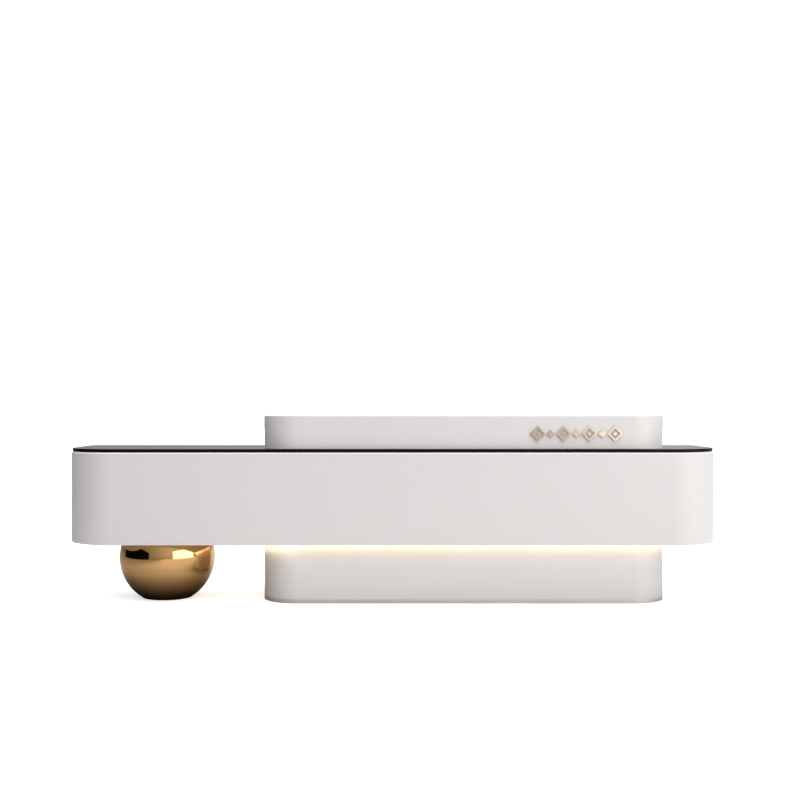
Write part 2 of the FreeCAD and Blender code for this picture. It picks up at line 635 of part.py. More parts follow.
def drawer_box(name, bay_left, bay_right, base, height):
    """Two sides, a back and a floor; the fascia closes the fourth side."""
    start = f"({FASCIA_INNER} - dims.box_length)"
    left = f"({bay_left} + dims.slide_space)"
    right = f"({bay_right} - dims.slide_space)"
    inside = f"{right} - {left} - 2 * dims.box_board"
    boards = [
        board(f"{name}_left", (left, start, base), ("dims.box_board", "dims.box_length", height)),
        board(f"{name}_right", (f"{right} - dims.box_board", start, base),
              ("dims.box_board", "dims.box_length", height)),
        board(f"{name}_back", (f"{left} + dims.box_board", start, base),
              (inside, "dims.box_board", height)),
        board(f"{name}_floor", (f"{left} + dims.box_board", f"{start} + dims.box_board", base),
              (inside, "dims.box_length - dims.box_board", "dims.box_floor")),
    ]
    return group(name, boards)


def make_tray():
    """Pull-out keyboard tray behind the riser."""
    bay_left = "(dims.divider_3 + dims.board)"
    bay_right = "dims.divider_4"
    line = "(dims.tray_underside + dims.board / 2)"
    node(board("keyboard_tray", (f"{bay_left} + dims.slide_space",
                                 f"{FASCIA_INNER} - dims.tray_depth", "dims.tray_underside"),
               (f"{bay_right} - {bay_left} - 2 * dims.slide_space", "dims.tray_depth",
                "dims.board")))
    sides = ("left", "right")
    length = "dims.tray_rail_length"
    node(group("tray_runners",
               [runner("tray_runner", bay_left, bay_right, side, line, length)
                for side in sides]))
    node(group("tray_rails",
               [rail("tray_rail", bay_left, bay_right, side, line, length) for side in sides]))


def make_doors():
    """Pair of hinged doors on the cabinet bay, with butt hinges and knobs."""
    bay_left = "(dims.divider_1 + dims.board)"
    bay_right = "dims.divider_2"
    width = f"(({bay_right} - {bay_left} - 3 * dims.reveal) / 2)"
    base = f"({BODY_FLOOR} + dims.reveal)"
    height = f"{BAY_HEIGHT} - 2 * dims.reveal"
    fixed_leaves = []
    doors = (
        ("left", f"({bay_left} + dims.reveal)", f"({bay_left} + dims.pivot_inset)", 1),
        ("right", f"({bay_right} - dims.reveal - {width})",
         f"({bay_right} - dims.pivot_inset)", -1),
    )
    for side, start, pivot, inward in doors:
        node(board(f"{side}_door", (start, FASCIA_INNER, base), (width, "dims.board", height)))
        across = f"{start} + {width} - dims.door_knob_inset"
        if inward < 0:
            across = f"{start} + dims.door_knob_inset"
        node(knob(f"{side}_door_knob", across, "dims.door_knob_height"))
        moving_leaves = []
        for where in ("lower", "upper"):
            name = f"{side}_{where}_hinge"
            fixed_leaves.append(fixed_leaf(name, pivot, inward, f"dims.{where}_hinge"))
            moving_leaves.append(moving_leaf(name, pivot, inward, f"dims.{where}_hinge"))
        node(group(f"{side}_door_hinge_leaves", moving_leaves))
    node(group("fixed_hinge_leaves", fixed_leaves))


def fixed_leaf(name, pivot, inward, middle):
    """Leaf on the upright's rear edge with the two outer knuckles and the pin."""
    axis_back = f"({DIVIDER_REAR} + dims.knuckle_radius)"
    low = f"({middle} - dims.hinge_height / 2)"
    end = "(dims.hinge_height / 2 - dims.knuckle_height / 2 - dims.hinge_gap)"
    high = f"({middle} + dims.hinge_height / 2 - {end})"
    plate_start = f"{pivot} - dims.leaf_clear - dims.leaf_width"
    lug_start = f"{pivot} - dims.leaf_clear"
    if inward < 0:
        plate_start = f"{pivot} + dims.leaf_clear"
        lug_start = pivot
    pieces = [board(f"{name}_plate", (plate_start, DIVIDER_REAR, low),
                    ("dims.leaf_width", "dims.leaf_thickness", "dims.hinge_height"))]
    for end_name, start in (("low", low), ("high", high)):
        pieces.append(board(f"{name}_{end_name}_lug", (lug_start, DIVIDER_REAR, start),
                            ("dims.leaf_clear", "dims.leaf_thickness", end)))
        pieces.append(rod(f"{name}_{end_name}_knuckle", (pivot, axis_back, start),
                          "dims.knuckle_radius", end))
    pieces.append(rod(f"{name}_pin", (pivot, axis_back, low), "dims.hinge_pin_radius",
                      "dims.hinge_height"))
    return fuse(f"{name}_fixed", *pieces)


def moving_leaf(name, pivot, inward, middle):
    """Leaf on the door's outer face with the middle knuckle, bored for the pin."""
    axis_back = f"({DIVIDER_REAR} + dims.knuckle_radius)"
    low = f"({middle} - dims.knuckle_height / 2)"
    start = pivot if inward > 0 else f"{pivot} - dims.door_leaf_width"
    plate = board(f"{name}_door_plate", (start, FASCIA_OUTER, low),
                  ("dims.door_leaf_width", "dims.door_leaf_thickness", "dims.knuckle_height"))
    knuckle = rod(f"{name}_door_knuckle", (pivot, axis_back, low), "dims.knuckle_radius",
                  "dims.knuckle_height")
    bore = rod(f"{name}_door_bore", (pivot, axis_back, f"{low} - dims.overrun"),
               "dims.knuckle_bore", "dims.knuckle_height + 2 * dims.overrun")
    return cut(f"{name}_moving", fuse(f"{name}_door_leaf", plate, knuckle), bore)


def check_and_export():
    """Stop on any failed object or bad sub-part, then write one file per sub-part."""
    doc.recompute()
    failed = [item.Name for item in doc.Objects
              if "Invalid" in item.State or "Error" in item.State]
    if failed:
        raise RuntimeError(f"failed objects: {failed}")
    for item in subparts:
        if item.Shape.isNull() or not item.Shape.isValid() or not item.Shape.Solids:
            raise RuntimeError(f"bad shape: {item.Label}")
    os.makedirs("parts", exist_ok=True)
    for item in subparts:
        item.Shape.exportStep(f"parts/{item.Label}.step")
        box = item.Shape.BoundBox
        print(f"{item.Label:28s} solids {len(item.Shape.Solids):2d}"
              f"  x {box.XMin:8.1f} {box.XMax:8.1f}  y {box.YMin:7.1f} {box.YMax:7.1f}"
              f"  z {box.ZMin:7.1f} {box.ZMax:7.1f}")
    print(len(subparts), "sub-parts")


make_top()
make_body()
make_riser()
make_plinth()
make_light()
make_switch()
make_ball()
make_grommet()
make_drawers()
make_tray()
make_doors()
check_and_export()
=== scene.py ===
"""Looks of the checkout counter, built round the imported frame, in metres."""
import json
import math

import bmesh
import bpy
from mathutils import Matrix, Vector


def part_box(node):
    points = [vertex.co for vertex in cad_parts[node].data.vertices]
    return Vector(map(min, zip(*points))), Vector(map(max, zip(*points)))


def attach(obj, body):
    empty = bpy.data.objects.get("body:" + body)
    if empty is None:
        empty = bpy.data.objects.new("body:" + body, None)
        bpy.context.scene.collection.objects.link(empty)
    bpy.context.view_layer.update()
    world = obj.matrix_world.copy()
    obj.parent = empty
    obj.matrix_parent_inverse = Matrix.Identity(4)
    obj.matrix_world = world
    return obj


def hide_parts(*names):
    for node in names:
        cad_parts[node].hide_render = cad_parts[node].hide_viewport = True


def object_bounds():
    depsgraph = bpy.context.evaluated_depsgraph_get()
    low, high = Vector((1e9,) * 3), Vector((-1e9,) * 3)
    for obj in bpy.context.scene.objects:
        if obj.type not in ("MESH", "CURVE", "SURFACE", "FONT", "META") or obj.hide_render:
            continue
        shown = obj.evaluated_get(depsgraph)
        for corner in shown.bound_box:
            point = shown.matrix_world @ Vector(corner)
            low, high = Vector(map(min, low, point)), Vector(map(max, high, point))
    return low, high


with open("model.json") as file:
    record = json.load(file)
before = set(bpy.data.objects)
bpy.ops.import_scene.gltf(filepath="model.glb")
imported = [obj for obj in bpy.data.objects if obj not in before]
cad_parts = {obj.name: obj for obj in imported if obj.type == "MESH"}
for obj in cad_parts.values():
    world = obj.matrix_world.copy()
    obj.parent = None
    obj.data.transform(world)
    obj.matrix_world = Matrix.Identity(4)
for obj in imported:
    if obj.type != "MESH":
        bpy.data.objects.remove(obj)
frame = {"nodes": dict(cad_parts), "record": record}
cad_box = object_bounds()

NODES = frame["nodes"]
UP = Vector((0, 0, 1))
BACK = Vector((0, 1, 0))

# Plan corners and board thickness of the lacquered parts.
BODY_CORNER = 0.275
BODY_REAR_CORNER = 0.060
RECESSED_CORNER = 0.200
BOARD = 0.018

# The top stands this far inside the body's face, over a gap and a chamfered head.
TOP_REVEAL = 0.005
SHADOW_GAP = 0.0022
HEAD_CHAMFER = 0.0075

CORNER_STEPS = 40
EASE_STEPS = 4
PORT_STEPS = 48


# ---------------------------------------------------------------- materials
def new_material(name):
    """Empty principled material: the material, its node tree and its shader."""
    material = bpy.data.materials.new(name)
    material.use_nodes = True
    tree = material.node_tree
    shader = tree.nodes["Principled BSDF"]
    return material, tree, shader


def add(tree, kind, **settings):
    """New shader node with its named inputs or properties set."""
    item = tree.nodes.new(kind)
    for key, value in settings.items():
        if key in item.inputs:
            item.inputs[key].default_value = value
        else:
            setattr(item, key, value)
    return item


def place_coordinates(tree, stretch=(1, 1, 1)):
    """Object coordinates in metres, stretched for grain that runs one way."""
    coordinates = add(tree, "ShaderNodeTexCoord")
    mapping = add(tree, "ShaderNodeMapping")
    mapping.inputs["Scale"].default_value = stretch
    tree.links.new(coordinates.outputs["Object"], mapping.inputs["Vector"])
    return mapping.outputs["Vector"]


def noise(tree, vector, scale, detail=3.0, roughness=0.5):
    """Noise value at a place."""
    item = add(tree, "ShaderNodeTexNoise", Scale=scale, Detail=detail, Roughness=roughness)
    tree.links.new(vector, item.inputs["Vector"])
    return item.outputs["Fac"]


def spread(tree, value, low, high):
    """Map a 0.3 to 0.7 noise value to the range from LOW to HIGH."""
    item = add(tree, "ShaderNodeMapRange")
    item.inputs["From Min"].default_value = 0.3
    item.inputs["From Max"].default_value = 0.7
    item.inputs["To Min"].default_value = low
    item.inputs["To Max"].default_value = high
    tree.links.new(value, item.inputs["Value"])
    return item.outputs["Result"]


def tint(tree, value, dark, light):
    """Colour between DARK and LIGHT by a noise value."""
    item = add(tree, "ShaderNodeMix", data_type="RGBA")
    item.inputs["A"].default_value = (*dark, 1)
    item.inputs["B"].default_value = (*light, 1)
    tree.links.new(spread(tree, value, 0, 1), item.inputs["Factor"])
    return item.outputs["Result"]


def bump(tree, shader, height, strength, distance):
    """Relief of the shader's surface from a height value."""
    item = add(tree, "ShaderNodeBump")
    item.inputs["Strength"].default_value = strength
    item.inputs["Distance"].default_value = distance
    tree.links.new(height, item.inputs["Height"])
    tree.links.new(item.outputs["Normal"], shader.inputs["Normal"])


def shades(colour, change):
    """The colour a little darker and a little lighter."""
    return [tuple(part * (1 + side * change) for part in colour) for side in (-1, 1)]


def surface(name, colour, rough, change=0.02, rough_change=0.04, patch=3.0, grain=900.0,
            grain_depth=0.0001, grain_strength=0.15, stretch=(1, 1, 1), **constants):
    """Principled finish with cloudy colour and gloss and a fine surface grain."""
    material, tree, shader = new_material(name)
    vector = place_coordinates(tree)
    clouds = noise(tree, vector, patch, detail=5)
    tree.links.new(tint(tree, clouds, *shades(colour, change)), shader.inputs["Base Color"])
    smears = noise(tree, place_coordinates(tree, stretch), patch * 6, detail=6, roughness=0.65)
    tree.links.new(spread(tree, smears, rough - rough_change, rough + rough_change),
                   shader.inputs["Roughness"])
    fine = noise(tree, place_coordinates(tree, stretch), grain, detail=2)
    bump(tree, shader, fine, grain_strength, grain_depth)
    for key, value in constants.items():
        shader.inputs[key.replace("_", " ")].default_value = value
    return material


def brushed(name, colour, rough, along, metallic=1.0):
    """Metal with a fine brushed grain that runs along one axis."""
    stretch = tuple(0.02 if axis == along else 1.0 for axis in "xyz")
    return surface(name, colour, rough, change=0.06, rough_change=0.08, patch=4,
                   grain=1600, grain_depth=0.00008, grain_strength=0.25, stretch=stretch,
                   Metallic=metallic)


def glow(name, colour, strength, base):
    """Opal or phosphor surface that gives light, with a faint mottle."""
    material, tree, shader = new_material(name)
    mottle = noise(tree, place_coordinates(tree), 120)
    tree.links.new(tint(tree, mottle, *shades(base, 0.03)), shader.inputs["Base Color"])
    shader.inputs["Roughness"].default_value = 0.4
    shader.inputs["Emission Color"].default_value = (*colour, 1)
    shader.inputs["Emission Strength"].default_value = strength
    return material


def polished_black():
    """Polished black top: near black with a faint cloud and a wiped gloss."""
    material, tree, shader = new_material("polished_black")
    vector = place_coordinates(tree)
    clouds = noise(tree, vector, 6, detail=8, roughness=0.6)
    tree.links.new(tint(tree, clouds, (0.004, 0.0038, 0.0038), (0.010, 0.009, 0.0085)),
                   shader.inputs["Base Color"])
    wipes = noise(tree, place_coordinates(tree, (1, 3, 1)), 3, detail=4)
    tree.links.new(spread(tree, wipes, 0.05, 0.09), shader.inputs["Roughness"])
    ripple = noise(tree, vector, 5)
    bump(tree, shader, ripple, 0.02, 0.0004)
    shader.inputs["IOR"].default_value = 1.5
    return material


MATERIALS = {
    "white_lacquer": surface("white_lacquer", (0.80, 0.772, 0.764), 0.36, change=0.008,
                             patch=1.2, grain=700, grain_depth=0.00012, grain_strength=0.06,
                             Coat_Weight=0.06, Coat_Roughness=0.14, IOR=1.3),
    "black_top": polished_black(),
    "honed_edge": surface("honed_edge", (0.004, 0.0036, 0.0036), 0.32, change=0.2, patch=9,
                          grain=1500, IOR=1.15),
    "white_board": surface("white_board", (0.76, 0.745, 0.73), 0.5, change=0.015, patch=2.5,
                           grain=1100, grain_depth=0.0001, grain_strength=0.2),
    "grey_skirting": brushed("grey_skirting", (0.70, 0.665, 0.625), 0.38, "x", metallic=0.35),
    "gold": surface("gold", (0.84, 0.485, 0.205), 0.055, change=0.03, rough_change=0.02,
                    patch=5, grain=10, grain_depth=0.0006, grain_strength=0.04, Metallic=1.0),
    "champagne": surface("champagne", (0.55, 0.44, 0.335), 0.21, change=0.05, patch=30,
                         rough_change=0.06, grain=1500, grain_depth=0.00006, Metallic=1.0),
    "steel": brushed("steel", (0.58, 0.58, 0.585), 0.33, "y"),
    "aluminium": brushed("aluminium", (0.72, 0.72, 0.73), 0.36, "x"),
    "opal": glow("opal", colour=(1.0, 0.72, 0.38), strength=3.0, base=(0.95, 0.90, 0.80)),
    "light_tape": glow("light_tape", colour=(1.0, 0.78, 0.48), strength=2.0,
                       base=(0.95, 0.85, 0.60)),
    "dark_plastic": surface("dark_plastic", (0.03, 0.03, 0.032), 0.48, change=0.1, patch=40,
                            grain=2600, grain_strength=0.35),
    "white_plastic": surface("white_plastic", (0.72, 0.715, 0.70), 0.45, change=0.02, patch=20,
                             grain=2400, grain_strength=0.3),
    "rubber": surface("rubber", (0.025, 0.024, 0.023), 0.72, change=0.15, patch=60,
                      grain=1900, grain_strength=0.45),
}


# ---------------------------------------------------------------- mesh tools
def finish_mesh(name, bm, body, slot, stands_for=(), sharp_angle=35):
    """Turn the bmesh into a smooth-shaded piece that rides on a body."""
    bmesh.ops.recalc_face_normals(bm, faces=bm.faces)
    mesh = bpy.data.meshes.new(name)
    bm.to_mesh(mesh)
    bm.free()
    mesh.shade_smooth()
    mesh.set_sharp_from_angle(angle=math.radians(sharp_angle))
    piece = bpy.data.objects.new(name, mesh)
    bpy.context.scene.collection.objects.link(piece)
    mesh.materials.append(MATERIALS[slot])
    weigh = piece.modifiers.new("weighted_normals", "WEIGHTED_NORMAL")
    weigh.keep_sharp = True
    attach(piece, body)
    if stands_for:
        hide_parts(*stands_for)
    return piece


def arc(centre, radius, start, end, steps):
    """Points and outward normals on an arc, angles in degrees, as (x, y, nx, ny)."""
    points = []
    for step in range(steps + 1):
        angle = math.radians(start + (end - start) * step / steps)
        way = (math.cos(angle), math.sin(angle))
        points.append((centre[0] + radius * way[0], centre[1] + radius * way[1], *way))
    return points


def rounded_plan(low, high, front_radius, rear_radius):
    """Closed plan outline, counterclockwise from the start of the rear right corner."""
    left, front = low[0], low[1]
    right, rear = high[0], high[1]
    fine, coarse = CORNER_STEPS, CORNER_STEPS // 2
    plan = arc((right - rear_radius, rear - rear_radius), rear_radius, 0, 90, coarse)
    plan += arc((left + rear_radius, rear - rear_radius), rear_radius, 90, 180, coarse)
    plan += arc((left + front_radius, front + front_radius), front_radius, 180, 270, fine)
    plan += arc((right - front_radius, front + front_radius), front_radius, 270, 360, fine)
    return plan


def wrap_path(low, high, front_radius, rear_radius=0.0):
    """Open path of a U-shaped wrap, from the left end at the rear to the right end."""
    left, front = low[0], low[1]
    right, rear = high[0], high[1]
    fine, coarse = CORNER_STEPS, CORNER_STEPS // 2
    path = []
    if rear_radius:
        path += arc((left + rear_radius, rear - rear_radius), rear_radius, 90, 180, coarse)
    else:
        path.append((left, rear, -1.0, 0.0))
    path += arc((left + front_radius, front + front_radius), front_radius, 180, 270, fine)
    path += arc((right - front_radius, front + front_radius), front_radius, 270, 360, fine)
    if rear_radius:
        path += arc((right - rear_radius, rear - rear_radius), rear_radius, 0, 90, coarse)
    else:
        path.append((right, rear, 1.0, 0.0))
    return path


def board_section(bottom, top, eased_bottom, eased_top, face_chamfer=0.0):
    """Closed section of a board as (depth behind the face, height), with eased edges.

    A face chamfer takes the place of the easing on the upper edge of the face.
    """
    section = []
    corners = ((0, bottom, eased_bottom, 1, 1), (BOARD, bottom, eased_bottom, -1, 1),
               (BOARD, top, eased_top, -1, -1), (0, top, eased_top, 1, -1))
    starts = (180, 270, 0, 90)
    for (depth, height, radius, inward, upward), start in zip(corners, starts):
        if face_chamfer and depth == 0 and height == top:
            section += [(face_chamfer, top), (0, top - face_chamfer)]
            continue
        if not radius:
            section.append((depth, height))
            continue
        for step in range(EASE_STEPS + 1):
            angle = math.radians(start + 90 * step / EASE_STEPS)
            section.append((depth + inward * radius + radius * math.cos(angle),
                            height + upward * radius + radius * math.sin(angle)))
    return section


def sweep(name, path, section, body, slot, stands_for=()):
    """Solid that runs a closed section along an open path."""
    bm = bmesh.new()
    rings = [[bm.verts.new((x - nx * depth, y - ny * depth, height))
              for depth, height in section]
             for x, y, nx, ny in path]
    count = len(section)
    for ring, following in zip(rings, rings[1:]):
        for number in range(count):
            after = (number + 1) % count
            bm.faces.new((ring[number], ring[after], following[after], following[number]))
    bm.faces.new(rings[0])
    bm.faces.new(rings[-1])
    return finish_mesh(name, bm, body, slot, stands_for)


def slab(name, low, high, front_radius, rear_radius, eased_bottom, eased_top, body, slot,
         stands_for=(), port=None):
    """Flat slab with a rounded plan, eased edges and an optional round port (x, y, r)."""
    bm = bmesh.new()
    plan = rounded_plan(low, high, front_radius, rear_radius)
    levels = []
    for step in range(EASE_STEPS + 1):
        angle = math.radians(90 * step / EASE_STEPS)
        levels.append((eased_bottom * (1 - math.sin(angle)),
                       low[2] + eased_bottom * (1 - math.cos(angle))))
    for step in range(EASE_STEPS + 1):
        angle = math.radians(90 * step / EASE_STEPS)
        levels.append((eased_top * (1 - math.cos(angle)),
                       high[2] - eased_top * (1 - math.sin(angle))))
    levels = [level for number, level in enumerate(levels)
              if number == 0 or level != levels[number - 1]]
    rings = [ring_of(bm, [(x - nx * inset, y - ny * inset) for x, y, nx, ny in plan], height)
             for inset, height in levels]
    join_rings(bm, rings)
    ends = [rings[0], rings[-1]]
    if port is None:
        for ring in ends:
            bm.faces.new(ring)
    else:
        hole = [(x, y) for x, y, _, _ in arc(port[:2], port[2], 0, 360, PORT_STEPS)[:-1]]
        bores = [ring_of(bm, hole, height) for height in (low[2], high[2])]
        join_rings(bm, bores)
        for ring, bore in zip(ends, bores):
            edges = loop_edges(bm, ring) + loop_edges(bm, bore)
            bmesh.ops.triangle_fill(bm, use_beauty=True, edges=edges)
    return finish_mesh(name, bm, body, slot, stands_for)


def ring_of(bm, plan, height):
    """Ring of new vertices at one height."""
    return [bm.verts.new((x, y, height)) for x, y in plan]


def join_rings(bm, rings):
    """Skin a stack of closed rings that have the same number of points."""
    for ring, following in zip(rings, rings[1:]):
        count = len(ring)
        for number in range(count):
            after = (number + 1) % count
            bm.faces.new((ring[number], ring[after], following[after], following[number]))


def loop_edges(bm, ring):
    """Edges round a closed ring, made where they are missing."""
    edges = []
    for number, vertex in enumerate(ring):
        pair = (vertex, ring[(number + 1) % len(ring)])
        edges.append(bm.edges.get(pair) or bm.edges.new(pair))
    return edges


def revolve(name, centre, axis, profile, body, slot, stands_for=(), segments=96):
    """Turned piece: a closed or axis-to-axis profile of (radius, offset along the axis)."""
    bm = bmesh.new()
    side = axis.orthogonal().normalized()
    other = axis.cross(side)
    rings = []
    for radius, offset in profile:
        if radius == 0:
            rings.append([bm.verts.new(centre + axis * offset)])
            continue
        ring = []
        for number in range(segments):
            angle = 2 * math.pi * number / segments
            way = side * math.cos(angle) + other * math.sin(angle)
            ring.append(bm.verts.new(centre + axis * offset + way * radius))
        rings.append(ring)
    closed = len(rings[0]) > 1
    pairs = list(zip(rings, rings[1:])) + ([(rings[-1], rings[0])] if closed else [])
    for ring, following in pairs:
        for number in range(segments):
            after = (number + 1) % segments
            if len(ring) == 1:
                bm.faces.new((ring[0], following[number], following[after]))
            elif len(following) == 1:
                bm.faces.new((ring[number], following[0], ring[after]))
            else:
                bm.faces.new((ring[number], following[number], following[after], ring[after]))
    return finish_mesh(name, bm, body, slot, stands_for)


# ---------------------------------------------------------------- pieces
def make_top():
    """Black top, a hair inside the body's face, with a fine arris and the port's bore."""
    low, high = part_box("countertop_glass")
    reveal = Vector((TOP_REVEAL, TOP_REVEAL, 0))
    ring_low, ring_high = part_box("grommet_ring")
    centre = (ring_low + ring_high) / 2
    port_radius = 0.0300
    lower_arris, upper_arris = 0.0006, 0.0012
    top = slab("polished_top", low + reveal, high - reveal, BODY_CORNER - TOP_REVEAL,
               BODY_REAR_CORNER - TOP_REVEAL, lower_arris, upper_arris, "counter",
               "black_top", ["countertop_glass"], port=(centre.x, centre.y, port_radius))
    top.data.materials.append(MATERIALS["honed_edge"])
    nearly_level = 0.9
    for face in top.data.polygons:
        face.material_index = 0 if abs(face.normal.z) > nearly_level else 1


def make_lacquered_shells():
    """Seamless lacquered wraps of the body, the riser and the plinth."""
    body_foot, riser_foot, fine, board_edge = 0.003, 0.001, 0.0008, 0.001
    low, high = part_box("body_front_shell")
    sweep("body_wrap", wrap_path(low, high, BODY_CORNER, BODY_REAR_CORNER),
          board_section(low.z, high.z - SHADOW_GAP, body_foot, board_edge, HEAD_CHAMFER),
          "counter", "white_lacquer", ["body_front_shell"])
    low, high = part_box("riser_shell")
    sweep("riser_wrap", wrap_path(low, high, RECESSED_CORNER),
          board_section(low.z, high.z, riser_foot, 0), "counter", "white_lacquer",
          ["riser_shell"])
    riser_cap()
    low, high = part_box("plinth_shell")
    sweep("plinth_wrap", wrap_path(low, high, RECESSED_CORNER),
          board_section(low.z, high.z, fine, 0), "counter", "white_lacquer",
          ["plinth_shell"])
    low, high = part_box("plinth_skirting")
    sweep("skirting_strip", wrap_path(low, high, RECESSED_CORNER),
          board_section(low.z, high.z, fine, fine), "counter", "grey_skirting",
          ["plinth_skirting"])


def riser_cap():
    """Top of the riser, eased along its upper edge only so that it meets the wrap flush."""
    low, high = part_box("riser_top")
    rear_corner, upper_easing = 0.0015, 0.0035
    slab("riser_cap", low, high, RECESSED_CORNER, rear_corner, 0, upper_easing, "counter",
         "white_lacquer", ["riser_top"])


def make_ball():
    """Polished ball as one turned skin with flat ends that tuck under the body and pad."""
    low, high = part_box("ball_shell")
    radius = (high.x - low.x) / 2
    wall, centre_height, steps = 0.003, 0.227, 72
    centre = Vector(((low.x + high.x) / 2, (low.y + high.y) / 2, centre_height))
    profile = []
    for ball_radius, down in ((radius, False), (radius - wall, True)):
        start = math.asin((low.z - centre.z) / ball_radius)
        end = math.asin((high.z - centre.z) / ball_radius)
        angles = [start + (end - start) * step / steps for step in range(steps + 1)]
        if down:
            angles.reverse()
        profile += [(ball_radius * math.cos(angle), ball_radius * math.sin(angle))
                    for angle in angles]
    revolve("gold_ball", centre, UP, profile, "counter", "gold", ["ball_shell"], segments=192)
    low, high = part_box("ball_foot_pad")
    pad = (high.x - low.x) / 2
    height = high.z - low.z
    eased = 0.0004
    profile = [(0, 0), (pad - eased, 0), (pad, eased), (pad, height - eased),
               (pad - eased, height), (0, height)]
    revolve("ball_pad", Vector((centre.x, centre.y, low.z)), UP, profile, "counter", "rubber",
            ["ball_foot_pad"], segments=128)


KNOBS = {"top_drawer_knob": "top_drawer", "deep_drawer_knob": "deep_drawer",
         "left_door_knob": "door_left", "right_door_knob": "door_right"}


def make_knobs():
    """Turned champagne knobs with a waisted stem, flared neck and domed face."""
    for node, body in KNOBS.items():
        low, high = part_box(node)
        centre = Vector(((low.x + high.x) / 2, low.y, (low.z + high.z) / 2))
        rim = (high.x - low.x) / 2
        reach = high.y - low.y
        collar, collar_thick, neck_start = 0.0075, 0.0008, 0.0016
        waist, flare_end, flare_power, neck_steps = 0.0050, 0.0012, 2.6, 12
        neck_foot, neck_short = 0.0056, 0.0062
        profile = [(0, 0), (collar, 0), (collar, collar_thick), (neck_foot, neck_start)]
        for step in range(1, neck_steps + 1):
            part = step / neck_steps
            flare = waist + (rim - flare_end - waist) * part ** flare_power
            profile.append((flare, neck_start + (reach - neck_short) * part))
        eased, dome, dome_steps = 0.0008, 0.0007, 8
        disc_back, disc_front = reach - 0.0034, reach - 0.0016
        profile += [(rim, disc_back), (rim, disc_front), (rim - eased, reach - dome)]
        for step in range(1, dome_steps + 1):
            part = step / dome_steps
            profile.append(((rim - eased) * (1 - part), reach - dome * (1 - part) ** 2))
        revolve(f"{node}_turned", centre, BACK, profile, body, "champagne", [node], segments=72)


def make_grommet_ring():
    """Rim and sleeve of the cable port, with a domed rim and the cap's seat."""
    low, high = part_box("grommet_ring")
    centre = Vector(((low.x + high.x) / 2, (low.y + high.y) / 2, 0))
    top, seat, worktop = high.z, 0.836, 0.840
    bore, sleeve, cap_seat, rim = 0.0220, 0.0295, 0.0250, 0.0380
    profile = [(bore, low.z), (sleeve, low.z), (sleeve, worktop), (rim, worktop),
               (rim, 0.8404), (0.0374, 0.8412), (0.0350, 0.8418), (0.0300, top),
               (0.0265, top), (0.0254, top - 0.0003), (cap_seat, top - 0.0010),
               (cap_seat, seat), (bore, seat)]
    revolve("grommet_rim", centre, UP, profile, "counter", "dark_plastic", ["grommet_ring"])


def lozenge(bm, centre, reach, inner, face, relief):
    """Square on its corner with a chamfered face, as a frame or, with no inner, solid."""
    chamfer = 0.0008
    across_corners = chamfer * 1.4
    middle = 0.0001
    levels = [(reach, 0), (reach, relief - chamfer), (reach - across_corners, relief)]
    if inner:
        levels += [(inner + across_corners, relief), (inner, relief - chamfer), (inner, 0)]
    else:
        levels.append((middle, relief))
    rings = []
    for size, out in levels:
        corners = ((size, 0), (0, size), (-size, 0), (0, -size))
        rings.append([bm.verts.new((centre.x + across, face - out, centre.z + up))
                      for across, up in corners])
    join_rings(bm, rings + ([rings[0]] if inner else []))
    if not inner:
        bm.faces.new(rings[0])
        bm.faces.new(rings[-1])


def make_ornament():
    """Row of chamfered lozenges on the riser's face."""
    low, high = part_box("riser_ornament")
    height = (low.z + high.z) / 2
    large, small, heart, window = 0.042, 0.022, 0.012, 0.0293
    count = 7
    pitch = (high.x - low.x - 2 * large) / (count - 1)
    relief = high.y - low.y
    bm = bmesh.new()
    for number in range(count):
        centre = Vector((low.x + large + number * pitch, 0, height))
        if number % 2:
            lozenge(bm, centre, small, 0, high.y, relief)
            continue
        lozenge(bm, centre, large, window, high.y, relief)
        lozenge(bm, centre, heart, 0, high.y, relief)
    finish_mesh("lozenge_row", bm, "counter", "champagne", ["riser_ornament"], sharp_angle=12)


def ease_cad_nodes():
    """Give every CAD node its finish, and ease the edges of the ones that show."""
    slots = {part["node"]: part["material_slot"] for part in frame["record"]["subparts"]}
    for name, item in NODES.items():
        item.data.materials.clear()
        item.data.materials.append(MATERIALS[slots[name]])
        if item.hide_render:
            continue
        weld = item.modifiers.new("weld", "WELD")
        weld.merge_threshold = 0.00001
        ease = item.modifiers.new("eased_edges", "BEVEL")
        ease.width = 0.0006
        ease.segments = 2
        ease.limit_method = "ANGLE"
        ease.angle_limit = math.radians(40)


# ---------------------------------------------------------------- studio
def ramp(tree, value, stops):
    """Grey ramp of (position, brightness) stops."""
    item = add(tree, "ShaderNodeValToRGB")
    points = item.color_ramp.elements
    for number, (position, grey) in enumerate(stops):
        point = points[number] if number < 2 else points.new(position)
        point.position = position
        point.color = (grey, grey, grey, 1)
    tree.links.new(value, item.inputs["Fac"])
    return item.outputs["Color"]


def half(tree, value):
    """A direction part of -1 to 1 as 0 to 1."""
    item = add(tree, "ShaderNodeMath", operation="MULTIPLY_ADD")
    item.inputs[1].default_value = 0.5
    item.inputs[2].default_value = 0.5
    tree.links.new(value, item.inputs[0])
    return item.outputs["Value"]


def multiply(tree, first, second):
    """Product of two colours."""
    item = add(tree, "ShaderNodeMix", data_type="RGBA", blend_type="MULTIPLY")
    item.inputs["Factor"].default_value = 1.0
    tree.links.new(first, item.inputs["A"])
    tree.links.new(second, item.inputs["B"])
    return item.outputs["Result"]


